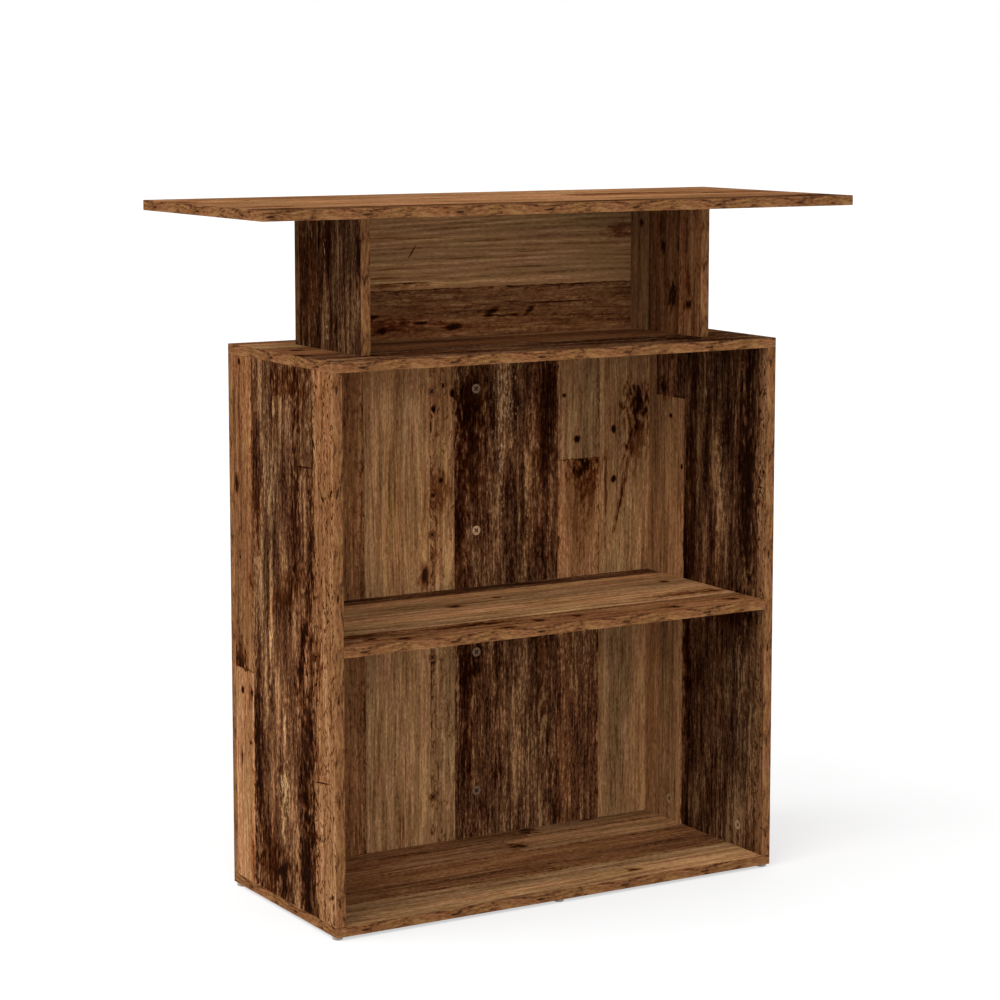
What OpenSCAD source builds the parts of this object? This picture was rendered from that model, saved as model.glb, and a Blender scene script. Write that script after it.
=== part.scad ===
// Standing-height reception desk in reclaimed-wood boards.
// A worktop stands on a low open box, which stands on a cabinet with one fixed shelf.
// The desk is open at the front, -Y, and closed by boards at the back, +Y.
// The origin is on the floor, under the middle of the desk, and +Z is up.

/* [Worktop] */
// Width of the worktop, along X
worktop_w = 1000; // [800:5:1600]
// Depth of the worktop, along Y
worktop_d = 400; // [300:5:700]

/* [Counter box] */
// Width of the box under the worktop, over its uprights
box_w = 600; // [400:5:700]
// Depth of the box, with its back panel
box_d = 210; // [180:5:300]
// Clear height of the niche under the worktop
niche_h = 200; // [150:5:400]

/* [Cabinet] */
// Width of the cabinet
cabinet_w = 760; // [720:5:1200]
// Depth of the cabinet, with its back boards
cabinet_d = 340; // [300:5:600]
// Clear height of the compartment under the shelf
lower_h = 390; // [300:5:600]
// Clear height of the compartment over the shelf
upper_h = 390; // [300:5:600]

/* [Boards] */
// Thickness of every board
board_t = 15; // [15:1:22]
// Thickness of the strips that cover the boards' cut edges
band_t = 1; // [0.5:0.1:2]

/* [Cam locks] */
// Diameter of a cam lock
cam_d = 15; // [12:0.5:20]
// Board left under a cam lock
cam_skin = 2.8; // [2:0.1:3.5]
// How far a cam lock lies below the board's face
cam_sink = 0.2; // [0:0.05:0.5]
// Gap round a cam lock in its hole
cam_clear = 0.1; // [0.05:0.05:0.3]
// From a board's end to the axis of its cam locks
cam_reach = 34; // [28:1:45]
// From the seam of the back boards to the axis of their cam locks
seam_reach = 40; // [30:1:60]
// Length of the arms of the cross in a cam lock's face
cross_l = 7.5; // [5:0.5:10]
// Width of the arms of the cross
cross_w = 1.3; // [0.8:0.1:2]
// Depth of the cross
cross_depth = 1.8; // [1:0.1:2.5]

/* [Bolts] */
// Diameter of a bolt's shaft
bolt_d = 7; // [6:0.5:8]
// Diameter of the neck behind a bolt's head
neck_d = 4; // [3:0.5:5]
// From the end of a bolt's shaft, where its neck starts, to the cam lock
shaft_gap = 0.5; // [0.2:0.1:2]
// Diameter of a bolt's head
head_d = 6.4; // [5.5:0.1:7.5]
// Thickness of a bolt's head
head_t = 3; // [2:0.5:4]
// Diameter of the threaded end
thread_d = 6; // [5:0.5:7]
// Length of the threaded end
thread_l = 11; // [8:0.5:12]
// Gap round a bolt in its bore
bolt_clear = 0.15; // [0.05:0.05:0.3]

/* [Dowels] */
// Diameter of a wooden dowel
dowel_d = 8; // [6:0.5:9]
// Length of a wooden dowel
dowel_l = 30; // [25:1:40]
// Part of a dowel that sits in a board's face
dowel_face_l = 10; // [8:0.5:12]
// Bevel at a dowel's ends
dowel_bevel = 1; // [0.5:0.1:2]
// Gap round a dowel in its hole
dowel_clear = 0.1; // [0.05:0.05:0.3]
// Spare depth at the end of a dowel's deeper hole
dowel_spare = 0.5; // [0.2:0.1:1]

/* [Places of the fittings] */
// From a side panel's front and back edges to its bolts
side_bolt_inset = 66; // [55:1:90]
// From a side panel's front and back edges to its dowels
side_dowel_inset = 34; // [20:1:40]
// From an upright's front and back edges to its bolts
upright_bolt_inset = 50; // [35:1:60]
// From an upright's ends to the dowels in its back edge
upright_dowel_inset = 50; // [20:1:60]
// From the ends of the box's back panel to its outer dowels
box_dowel_inset = 100; // [60:5:150]
// From a back board's ends to the outer bolts of the seam
seam_inset = 75; // [60:5:120]
// From an outer bolt of the seam to the inner one
seam_step = 225; // [80:5:230]
// From a back board's long edges to the dowels in its ends
back_dowel_inset = 90; // [60:5:150]

/* [Glides] */
// Diameter of a glide
glide_d = 15; // [12:0.5:20]
// Height of a glide
glide_h = 5; // [4:0.5:12]
// Bevel round the foot of a glide
glide_bevel = 0.8; // [0.3:0.1:1.5]
// From the cabinet's front and back to the middle of a glide
glide_inset = 12; // [10:0.5:40]
// Diameter of a glide's nail
nail_d = 2; // [1.5:0.1:3]
// Length of the nail in the board
nail_l = 12; // [8:0.5:14]
// Diameter of the nail's head
nail_head_d = 5; // [4:0.5:7]
// Thickness of the nail's head
nail_head_t = 1; // [0.5:0.1:1.5]
// Plastic under the nail's head
nail_floor = 1.5; // [1:0.1:2]
// Gap round a nail in its hole
nail_clear = 0.05; // [0.02:0.01:0.2]

/* [Hidden] */
$fn = 48;

// Colours of the boards, the strips and the fittings
wood_light = "#a8713f";
wood_mid = "#7a4f2c";
wood_dark = "#4a2f1e";
strip_brown = "#96602f";
zinc = "#b9ada0";
steel = "#c3c5c8";
beech = "#d9b687";
glide_grey = "#a39a90";

// Length by which a hole is cut past the face that it starts from
over = 1;

// Heights, from the floor up
bottom_z = glide_h;
floor_z = bottom_z + board_t;
shelf_z = floor_z + lower_h;
shelf_top_z = shelf_z + board_t;
ceiling_z = shelf_top_z + upper_h;
cabinet_z = ceiling_z + board_t;
worktop_z = cabinet_z + niche_h;
shelf_mid_z = shelf_z + board_t / 2;

// Half sizes of the cabinet, of the box and of the worktop
cab_x = cabinet_w / 2;
cab_y = cabinet_d / 2;
box_x = box_w / 2;
box_y = box_d / 2;
top_x = worktop_w / 2;
top_y = worktop_d / 2;

// Inner faces and middle planes of the upright boards
side_in_x = cab_x - board_t;
side_mid_x = cab_x - board_t / 2;
back_in_y = cab_y - board_t;
back_mid_y = cab_y - board_t / 2;
upright_in_x = box_x - board_t;
upright_mid_x = box_x - board_t / 2;
box_in_y = box_y - board_t;
box_mid_y = box_y - board_t / 2;

// Rows of fittings
side_bolt_ys = [-cab_y + side_bolt_inset, back_in_y - side_bolt_inset];
side_dowel_ys = [-cab_y + side_dowel_inset, back_in_y - side_dowel_inset];
upright_bolt_ys = [-box_y + upright_bolt_inset, box_in_y - upright_bolt_inset];
upright_mid_y = (box_in_y - box_y) / 2;
upright_dowel_zs = [cabinet_z + upright_dowel_inset, worktop_z - upright_dowel_inset];
box_dowel_xs = [-box_x + box_dowel_inset, 0, box_x - box_dowel_inset];
seam_zs = [
    floor_z + seam_inset, floor_z + seam_inset + seam_step,
    ceiling_z - seam_inset - seam_step, ceiling_z - seam_inset
];
back_dowel_xs = [back_dowel_inset, cab_x - back_dowel_inset];
glide_ys = [-cab_y + glide_inset, cab_y - glide_inset];

// Depth of a cam lock's hole, and the cam lock's own height
cam_hole_l = board_t - cam_skin;
cam_h = cam_hole_l - cam_sink;

// A joint is [point, along, out]. The point is on the bolt's axis, where the boards meet.
// The bolt runs along into the board that holds the cam lock, which faces out.
function side_joints(s) = [
    for (y = side_bolt_ys)
    for (end = [[floor_z, 1], [ceiling_z, -1]])
    [[s * side_mid_x, y, end[0]], [0, 0, end[1]], [-s, 0, 0]]
];
function shelf_joints(s) = [
    for (y = side_bolt_ys) [[s * side_in_x, y, shelf_mid_z], [-s, 0, 0], [0, 0, -1]]
];
function seam_joints(s) = [
    for (z = seam_zs) [[0, back_mid_y, z], [s, 0, 0], [0, -1, 0]]
];
// Both uprights are the same piece, so their cam locks face the same way, to +X
function upright_joints(s) = [
    for (y = upright_bolt_ys)
    for (end = [[cabinet_z, 1], [worktop_z, -1]])
    [[s * upright_mid_x, y, end[0]], [0, 0, end[1]], [1, 0, 0]]
];

// A dowel's place is [point, along], where it runs along into a board's edge
// and the other way into a board's face
function side_pegs(s) = [
    for (y = side_dowel_ys)
    for (end = [[floor_z, 1], [ceiling_z, -1]])
    [[s * side_mid_x, y, end[0]], [0, 0, end[1]]]
];
function shelf_end_pegs(s) = [
    for (y = side_dowel_ys) [[s * side_in_x, y, shelf_mid_z], [-s, 0, 0]]
];
function shelf_back_pegs(s) = [
    for (x = back_dowel_xs) [[s * x, back_in_y, shelf_mid_z], [0, -1, 0]]
];
function back_end_pegs(s) = [
    for (x = back_dowel_xs)
    for (end = [[floor_z, 1], [ceiling_z, -1]])
    [[s * x, back_mid_y, end[0]], [0, 0, end[1]]]
];
function back_side_pegs(s) = [
    for (z = seam_zs) [[s * side_mid_x, back_in_y, z], [0, -1, 0]]
];
function upright_end_pegs(s) = [
    for (end = [[cabinet_z, 1], [worktop_z, -1]])
    [[s * upright_mid_x, upright_mid_y, end[0]], [0, 0, end[1]]]
];
function upright_back_pegs(s) = [
    for (z = upright_dowel_zs) [[s * upright_mid_x, box_in_y, z], [0, -1, 0]]
];
function counter_back_pegs() = [
    for (x = box_dowel_xs)
    for (end = [[cabinet_z, 1], [worktop_z, -1]])
    [[x, box_mid_y, end[0]], [0, 0, end[1]]]
];
function glide_points() = [
    for (x = [-side_mid_x, 0, side_mid_x])
    for (y = glide_ys)
    [x, y, 0]
];

// A block between two opposite corners
module block(low, high) {
    translate(low) cube(high - low);
}

// Puts a shape at a point, with its X axis along one way and its Z axis out another way
module at(point, along, out) {
    side = cross(out, along);
    multmatrix([for (i = [0:2]) [along[i], side[i], out[i], point[i]]]) children();
}

// A way that is square to one of the main axes
function square_to(along) = abs(along[2]) > 0.5 ? [1, 0, 0] : [0, 0, 1];

// A round bar along X, from one place to another
module bar(d, from, to) {
    translate([from, 0, 0]) rotate([0, 90, 0]) cylinder(d = d, h = to - from);
}

// Hole for a cam lock, with the bore that the bolt comes in by
module cam_hole(reach) {
    translate([reach, 0, board_t / 2 - cam_hole_l])
        cylinder(d = cam_d + 2 * cam_clear, h = cam_hole_l + over);
    bar(bolt_d + 2 * bolt_clear, -over, reach);
}

// Hole for the threaded end of a bolt
module thread_hole() {
    bar(thread_d + 2 * bolt_clear, -thread_l, over);
}

module cam_holes(joints, reach = cam_reach) {
    for (j = joints) at(j[0], j[1], j[2]) cam_hole(reach);
}

module thread_holes(joints) {
    for (j = joints) at(j[0], j[1], j[2]) thread_hole();
}

// The deeper hole of a dowel, in a board's edge
module edge_peg_holes(pegs) {
    for (p = pegs)
        at(p[0], p[1], square_to(p[1]))
            bar(dowel_d + 2 * dowel_clear, -over, dowel_l - dowel_face_l + dowel_spare);
}

// The shallower hole of a dowel, in a board's face
module face_peg_holes(pegs) {
    for (p = pegs)
        at(p[0], p[1], square_to(p[1]))
            bar(dowel_d + 2 * dowel_clear, -dowel_face_l, over);
}

// A cam lock: a zinc drum with a cross in its face. The bolt's head comes in by a mouth in its
// side and lies in a chamber, and the neck slides along a half-turn slot as the drum turns.
module cam_lock() {
    chamber_x = head_t / 2 + bolt_clear;
    difference() {
        translate([0, 0, board_t / 2 - cam_hole_l]) cylinder(d = cam_d, h = cam_h);
        for (turn = [45, 135])
            rotate([0, 0, turn])
                translate([-cross_l / 2, -cross_w / 2, board_t / 2 - cam_sink - cross_depth])
                    cube([cross_l, cross_w, cross_depth + over]);
        bar(head_d + 2 * bolt_clear, -chamber_x, cam_d);
        bar(neck_d + 2 * bolt_clear, -cam_d, 0);
        rotate_extrude(angle = 180)
            translate([chamber_x, -neck_d / 2 - bolt_clear]) square([cam_d, neck_d + 2 * bolt_clear]);
    }
}

module cam_locks(joints, reach = cam_reach) {
    color(zinc)
        for (j = joints)
            at(j[0], j[1], j[2]) translate([reach, 0, 0]) cam_lock();
}

// The end of a bolt that a cam lock holds: shaft, neck and head
module bolt_end(reach) {
    shaft_l = reach - cam_d / 2 - shaft_gap;
    bar(bolt_d, 0, shaft_l);
    bar(neck_d, shaft_l, reach);
    bar(head_d, reach - head_t / 2, reach + head_t / 2);
}

// A bolt's shaft rests on the face of the board that its thread is in
module bolt() {
    bolt_end(cam_reach);
    bar(thread_d, -thread_l, 0);
}

module bolts(joints) {
    color(steel) for (j = joints) at(j[0], j[1], j[2]) bolt();
}

// A wooden dowel with bevelled ends
module dowel() {
    low = -dowel_face_l;
    high = dowel_l - dowel_face_l;
    bevel_d = dowel_d - 2 * dowel_bevel;
    rotate([0, 90, 0]) {
        translate([0, 0, low]) cylinder(d1 = bevel_d, d2 = dowel_d, h = dowel_bevel);
        translate([0, 0, low + dowel_bevel]) cylinder(d = dowel_d, h = dowel_l - 2 * dowel_bevel);
        translate([0, 0, high - dowel_bevel]) cylinder(d1 = dowel_d, d2 = bevel_d, h = dowel_bevel);
    }
}

module dowels(pegs) {
    color(beech) for (p = pegs) at(p[0], p[1], square_to(p[1])) dowel();
}

// Strips on the front and back edges of a flat board, which cover the ends of the other two
module long_bands(half_x, half_y, low_z) {
    color(strip_brown)
        for (y = [-half_y, half_y - band_t])
            block([-half_x, y, low_z], [half_x, y + band_t, low_z + board_t]);
}

// Strips on the left and right edges of a flat board
module end_bands(half_x, half_y, low_z) {
    color(strip_brown)
        for (x = [-half_x, half_x - band_t])
            block([x, -half_y + band_t, low_z], [x + band_t, half_y - band_t, low_z + board_t]);
}

// A flat board inside its four strips
module banded_board(half_x, half_y, low_z) {
    block([-half_x + band_t, -half_y + band_t, low_z], [half_x - band_t, half_y - band_t, low_z + board_t]);
}

// Worktop
module worktop() {
    color(wood_light) difference() {
        banded_board(top_x, top_y, worktop_z);
        thread_holes([for (s = [-1, 1]) for (j = upright_joints(s)) if (j[1][2] < 0) j]);
        face_peg_holes([for (s = [-1, 1]) for (p = upright_end_pegs(s)) if (p[1][2] < 0) p]);
        face_peg_holes([for (p = counter_back_pegs()) if (p[1][2] < 0) p]);
    }
}

module worktop_long_bands() {
    long_bands(top_x, top_y, worktop_z);
}

module worktop_end_bands() {
    end_bands(top_x, top_y, worktop_z);
}

// Counter box
module upright(s) {
    left = s < 0 ? -box_x : upright_in_x;
    difference() {
        block([left, -box_y + band_t, cabinet_z], [left + board_t, box_in_y, worktop_z]);
        cam_holes(upright_joints(s));
        edge_peg_holes(upright_end_pegs(s));
        edge_peg_holes(upright_back_pegs(s));
    }
}

module upright_band(s) {
    left = s < 0 ? -box_x : upright_in_x;
    block([left, -box_y, cabinet_z], [left + board_t, -box_y + band_t, worktop_z]);
}

module counter_left_upright() {
    color(wood_dark) upright(-1);
}

module counter_right_upright() {
    color(wood_dark) upright(1);
}

module left_upright_edge_band() {
    color(strip_brown) upright_band(-1);
}

module right_upright_edge_band() {
    color(strip_brown) upright_band(1);
}

module counter_back_panel() {
    color(wood_mid) difference() {
        block([-box_x + band_t, box_in_y, cabinet_z], [box_x - band_t, box_y, worktop_z]);
        edge_peg_holes(counter_back_pegs());
        for (s = [-1, 1]) face_peg_holes(upright_back_pegs(s));
    }
}

module counter_back_edge_bands() {
    color(strip_brown)
        for (left = [-box_x, box_x - band_t])
            block([left, box_in_y, cabinet_z], [left + band_t, box_y, worktop_z]);
}

// Cabinet
module cabinet_top() {
    color(wood_mid) difference() {
        banded_board(cab_x, cab_y, ceiling_z);
        for (s = [-1, 1]) {
            thread_holes([for (j = side_joints(s)) if (j[1][2] < 0) j]);
            thread_holes([for (j = upright_joints(s)) if (j[1][2] > 0) j]);
            face_peg_holes([for (p = side_pegs(s)) if (p[1][2] < 0) p]);
            face_peg_holes([for (p = back_end_pegs(s)) if (p[1][2] < 0) p]);
            face_peg_holes([for (p = upright_end_pegs(s)) if (p[1][2] > 0) p]);
        }
        face_peg_holes([for (p = counter_back_pegs()) if (p[1][2] > 0) p]);
    }
}

module cabinet_top_long_bands() {
    long_bands(cab_x, cab_y, ceiling_z);
}

module cabinet_top_end_bands() {
    end_bands(cab_x, cab_y, ceiling_z);
}

module cabinet_bottom() {
    color(wood_mid) difference() {
        banded_board(cab_x, cab_y, bottom_z);
        for (s = [-1, 1]) {
            thread_holes([for (j = side_joints(s)) if (j[1][2] > 0) j]);
            face_peg_holes([for (p = side_pegs(s)) if (p[1][2] > 0) p]);
            face_peg_holes([for (p = back_end_pegs(s)) if (p[1][2] > 0) p]);
        }
        for (p = glide_points())
            translate(p + [0, 0, bottom_z - over]) cylinder(d = nail_d + 2 * nail_clear, h = nail_l + over);
    }
}

module cabinet_bottom_long_bands() {
    long_bands(cab_x, cab_y, bottom_z);
}

module cabinet_bottom_end_bands() {
    end_bands(cab_x, cab_y, bottom_z);
}

module side_panel(s) {
    left = s < 0 ? -cab_x : side_in_x;
    difference() {
        block([left, -cab_y + band_t, floor_z], [left + board_t, back_in_y, ceiling_z]);
        cam_holes(side_joints(s));
        thread_holes(shelf_joints(s));
        edge_peg_holes(side_pegs(s));
        edge_peg_holes(back_side_pegs(s));
        face_peg_holes(shelf_end_pegs(s));
    }
}

module side_band(s) {
    left = s < 0 ? -cab_x : side_in_x;
    block([left, -cab_y, floor_z], [left + board_t, -cab_y + band_t, ceiling_z]);
}

module left_side_panel() {
    color(wood_light) side_panel(-1);
}

module right_side_panel() {
    color(wood_dark) side_panel(1);
}

module left_side_edge_band() {
    color(strip_brown) side_band(-1);
}

module right_side_edge_band() {
    color(strip_brown) side_band(1);
}

module middle_shelf() {
    color(wood_mid) difference() {
        block([-side_in_x, -cab_y + band_t, shelf_z], [side_in_x, back_in_y, shelf_top_z]);
        for (s = [-1, 1]) {
            cam_holes(shelf_joints(s));
            edge_peg_holes(shelf_end_pegs(s));
            edge_peg_holes(shelf_back_pegs(s));
        }
    }
}

module shelf_edge_band() {
    color(strip_brown)
        block([-side_in_x, -cab_y, shelf_z], [side_in_x, -cab_y + band_t, shelf_top_z]);
}

// The back is two boards, which meet at a seam in the middle
module back_board(s) {
    left = s < 0 ? -cab_x + band_t : 0;
    difference() {
        block([left, back_in_y, floor_z], [left + cab_x - band_t, cab_y, ceiling_z]);
        cam_holes(seam_joints(s), seam_reach);
        edge_peg_holes(back_end_pegs(s));
        face_peg_holes(back_side_pegs(s));
        face_peg_holes(shelf_back_pegs(s));
    }
}

module back_band(s) {
    left = s < 0 ? -cab_x : cab_x - band_t;
    block([left, back_in_y, floor_z], [left + band_t, cab_y, ceiling_z]);
}

module left_back_board() {
    color(wood_light) back_board(-1);
}

module right_back_board() {
    color(wood_mid) back_board(1);
}

module left_back_edge_band() {
    color(strip_brown) back_band(-1);
}

module right_back_edge_band() {
    color(strip_brown) back_band(1);
}

// Cam locks
module left_side_cam_locks() {
    cam_locks(side_joints(-1));
}

module right_side_cam_locks() {
    cam_locks(side_joints(1));
}

module shelf_cam_locks() {
    for (s = [-1, 1]) cam_locks(shelf_joints(s));
}

module left_back_cam_locks() {
    cam_locks(seam_joints(-1), seam_reach);
}

module right_back_cam_locks() {
    cam_locks(seam_joints(1), seam_reach);
}

module upright_cam_locks() {
    for (s = [-1, 1]) cam_locks(upright_joints(s));
}

// Bolts
module side_bolts() {
    for (s = [-1, 1]) bolts(side_joints(s));
}

module shelf_bolts() {
    for (s = [-1, 1]) bolts(shelf_joints(s));
}

module upright_bolts() {
    for (s = [-1, 1]) bolts(upright_joints(s));
}

// A bolt of the seam has a head at both ends
module seam_bolts() {
    color(steel)
        for (j = seam_joints(1))
            at(j[0], j[1], j[2]) {
                bolt_end(seam_reach);
                mirror([1, 0, 0]) bolt_end(seam_reach);
            }
}

// Wooden dowels
module side_dowels() {
    for (s = [-1, 1]) dowels(side_pegs(s));
}

module shelf_end_dowels() {
    for (s = [-1, 1]) dowels(shelf_end_pegs(s));
}

module shelf_back_dowels() {
    for (s = [-1, 1]) dowels(shelf_back_pegs(s));
}

module back_end_dowels() {
    for (s = [-1, 1]) dowels(back_end_pegs(s));
}

module back_side_dowels() {
    for (s = [-1, 1]) dowels(back_side_pegs(s));
}

module upright_end_dowels() {
    for (s = [-1, 1]) dowels(upright_end_pegs(s));
}

module upright_back_dowels() {
    for (s = [-1, 1]) dowels(upright_back_pegs(s));
}

module counter_back_dowels() {
    dowels(counter_back_pegs());
}

// Glides, each with a nail whose head is moulded in
module glide() {
    difference() {
        union() {
            cylinder(d1 = glide_d - 2 * glide_bevel, d2 = glide_d, h = glide_bevel);
            translate([0, 0, glide_bevel]) cylinder(d = glide_d, h = glide_h - glide_bevel);
        }
        translate([0, 0, nail_floor]) cylinder(d = nail_head_d + 2 * nail_clear, h = nail_head_t + nail_clear);
        translate([0, 0, nail_floor]) cylinder(d = nail_d + 2 * nail_clear, h = glide_h);
    }
}

module foot_glides() {
    color(glide_grey) for (p = glide_points()) translate(p) glide();
}

module nail() {
    tip_l = nail_d;
    shank_l = bottom_z + nail_l - nail_floor - tip_l;
    translate([0, 0, nail_floor]) {
        cylinder(d = nail_head_d, h = nail_head_t);
        cylinder(d = nail_d, h = shank_l);
        translate([0, 0, shank_l]) cylinder(d1 = nail_d, d2 = nail_d / 4, h = tip_l);
    }
}

module glide_nails() {
    color(steel) for (p = glide_points()) translate(p) nail();
}

worktop();
worktop_long_bands();
worktop_end_bands();
counter_left_upright();
counter_right_upright();
counter_back_panel();
left_upright_edge_band();
right_upright_edge_band();
counter_back_edge_bands();
cabinet_top();
cabinet_top_long_bands();
cabinet_top_end_bands();
cabinet_bottom();
cabinet_bottom_long_bands();
cabinet_bottom_end_bands();
left_side_panel();
left_side_edge_band();
right_side_panel();
right_side_edge_band();
middle_shelf();
shelf_edge_band();
left_back_board();
left_back_edge_band();
right_back_board();
right_back_edge_band();
left_side_cam_locks();
right_side_cam_locks();
shelf_cam_locks();
left_back_cam_locks();
right_back_cam_locks();
upright_cam_locks();
side_bolts();
shelf_bolts();
seam_bolts();
upright_bolts();
side_dowels();
shelf_end_dowels();
shelf_back_dowels();
back_end_dowels();
back_side_dowels();
upright_end_dowels();
upright_back_dowels();
counter_back_dowels();
foot_glides();
glide_nails();
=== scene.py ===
"""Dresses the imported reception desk: plank foil on the boards, edge strips, fittings and a studio."""

import math
import random
from functools import partialmethod
from typing import NamedTuple

import bmesh
import bpy
from bpy.props import FloatProperty, FloatVectorProperty, PointerProperty
from mathutils import Matrix, Vector


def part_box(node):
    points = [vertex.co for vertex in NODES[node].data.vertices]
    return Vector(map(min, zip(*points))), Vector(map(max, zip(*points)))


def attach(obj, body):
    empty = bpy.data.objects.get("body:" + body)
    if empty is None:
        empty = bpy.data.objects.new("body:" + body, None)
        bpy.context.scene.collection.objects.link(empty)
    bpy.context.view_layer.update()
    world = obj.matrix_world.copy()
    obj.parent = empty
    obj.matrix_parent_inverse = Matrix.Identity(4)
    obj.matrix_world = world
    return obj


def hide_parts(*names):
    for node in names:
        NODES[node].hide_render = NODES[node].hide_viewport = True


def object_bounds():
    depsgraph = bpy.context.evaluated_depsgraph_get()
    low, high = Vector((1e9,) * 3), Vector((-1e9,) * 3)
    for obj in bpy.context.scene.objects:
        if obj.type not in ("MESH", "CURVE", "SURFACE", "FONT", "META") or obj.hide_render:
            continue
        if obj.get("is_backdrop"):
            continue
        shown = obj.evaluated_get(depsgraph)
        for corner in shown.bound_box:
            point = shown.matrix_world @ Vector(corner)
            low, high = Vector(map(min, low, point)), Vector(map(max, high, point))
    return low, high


bl_info = {
    "name": "Reception Desk Dresser",
    "version": (1, 0, 0),
    "blender": (4, 5, 0),
    "location": "View3D > Sidebar > Desk",
    "description": "Gives a reception desk its plank foil, edge strips and fittings",
    "category": "Object",
}

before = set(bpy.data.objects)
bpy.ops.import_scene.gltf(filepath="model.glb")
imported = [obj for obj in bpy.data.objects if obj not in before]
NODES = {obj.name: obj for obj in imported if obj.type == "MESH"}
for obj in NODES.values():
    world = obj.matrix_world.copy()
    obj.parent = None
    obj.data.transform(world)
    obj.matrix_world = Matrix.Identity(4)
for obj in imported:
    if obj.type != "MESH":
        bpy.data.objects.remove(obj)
CAD_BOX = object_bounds()

MM = 0.001
# Further out in mm than any board reaches
FAR = 9000.0
# From a board's face to where its holes show bare chipboard
FOIL_DEPTH = 0.4 * MM
# How far the seams of the planks swing from straight lines
SEAM_SWING = 4 * MM
STRIP_RELIEF = 0.1 * MM
FITTING_RELIEF = 0.05 * MM
CAM_RIM = 0.4 * MM
GLIDE_RIM = 1 * MM
ARROW = 0.8 * MM
# Depths between which a cam lock's recess goes dark, as painted shade
RECESS_SHADE_FROM, RECESS_SHADE_FULL = 0.4 * MM, 0.9 * MM
# Points of a CAD mesh that are this close are one, or lie in one face
SAME_POINT = 0.001 * MM
SAME_FACE = 0.01 * MM
# Angles in radians: faces that differ by less are one, and edges that turn by more are sharp
FLAT = 0.002
SHARP = 1.0


def srgb(code):
    """A linear colour from the six hexadecimal digits of a screen colour."""
    parts = [int(code[i : i + 2], 16) / 255 for i in (0, 2, 4)]
    return tuple(p / 12.92 if p <= 0.04045 else ((p + 0.055) / 1.055) ** 2.4 for p in parts)


# Settings that a user would change


def colour(name, words, code):
    return FloatVectorProperty(
        name=name, description=words, default=srgb(code), size=3, min=0, max=1, subtype="COLOR"
    )


def share(name, words, value, top=1.0):
    return FloatProperty(name=name, description=words, default=value, min=0, max=top, subtype="FACTOR")


def length(name, words, value):
    return FloatProperty(name=name, description=words, default=value, min=0, unit="LENGTH")


def angle(name, words, degrees):
    value = math.radians(degrees)
    return FloatProperty(name=name, description=words, default=value, subtype="ANGLE")


class DeskFoil(bpy.types.PropertyGroup):
    """Colours and surface of the printed foil on the boards."""

    pine_deep: colour("Pine, deep", "Dark grain of the light pine planks", "643e20")
    pine_main: colour("Pine, main", "Main colour of the light pine planks", "946744")
    pine_bright: colour("Pine, bright", "Light grain of the light pine planks", "bc9068")
    red_deep: colour("Red plank, deep", "Dark grain of the reddish planks", "4a2c1b")
    red_main: colour("Red plank, main", "Main colour of the reddish planks", "835636")
    red_bright: colour("Red plank, bright", "Light grain of the reddish planks", "ab7f55")
    olive_deep: colour("Olive plank, deep", "Dark grain of the olive-brown planks", "6b4b2e")
    olive_main: colour("Olive plank, main", "Main colour of the olive-brown planks", "9f7650")
    olive_bright: colour("Olive plank, bright", "Light grain of the olive-brown planks", "cda272")
    bark_deep: colour("Weathered plank, deep", "Black grain of the weathered planks", "230f06")
    bark_main: colour("Weathered plank, main", "Main brown of the weathered planks", "573824")
    bark_bright: colour("Weathered plank, bright", "Gold grain of the weathered planks", "987350")
    stain: colour("Stain", "Stains, knots and nail holes", "190c07")
    flake: colour("Flake", "Pale flakes on the weathered planks", "d2b898")
    gold: colour("Gold", "Gold patches on the weathered planks", "cba374")
    chipboard: colour("Chipboard", "Core of the boards, inside their holes", "b08f66")
    roughness: share("Roughness", "Roughness of the foil", 0.55)
    relief: length("Relief", "Depth of the grain pressed into the foil", 0.0002)


class DeskStrips(bpy.types.PropertyGroup):
    """Colours and edges of the edge strips."""

    deep: colour("Deep", "Dashes in the strips' print", "45281a")
    main: colour("Main", "Main colour of the strips", "7a5132")
    bright: colour("Bright", "Light grain of the strips", "946a45")
    rounding: length("Rounding", "Radius of the strips' outer edges", 0.0005)
    repeat: length("Repeat", "Length after which the strips' print comes again", 0.1475)
    dash_offset: length("Dash offset", "From the middle of a strip to its print's dashes", 0.0016)
    seed: FloatProperty(name="Seed", description="Picks the strips' grain", default=3.0)
    roughness: share("Roughness", "Roughness of the strips", 0.5)


class DeskFittings(bpy.types.PropertyGroup):
    """Colours of the cam locks, bolts, nails, dowels and glides."""

    bright: colour("Bright zinc", "Zinc of the bright cam locks", "cea67c")
    # The dull zinc is painted shade on the right back board's cam locks; the brown zinc is painted shade
    # on the right side's upper cam locks and a darker brown on the left back board's
    dull: colour("Dull zinc", "Zinc of the dull cam locks in the right back board", "836650")
    brown: colour("Brown zinc", "Zinc of the browned cam locks, left back and upper right", "7d4d27")
    steel: colour("Steel", "Zinc-plated steel of the bolts and nails", "c9cbce")
    beech: colour("Beech", "Beech of the dowels", "d2ac7c")
    plastic: colour("Plastic", "Moulded plastic of the glides", "a49a90")
    cross: length("Cross", "Length of the cross in a cam lock's face", 0.0105)
    cross_width: length("Cross width", "Width of the cross in a cam lock's face", 0.0028)
    cross_depth: length("Cross depth", "Depth of the cross in a cam lock's face", 0.002)


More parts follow.
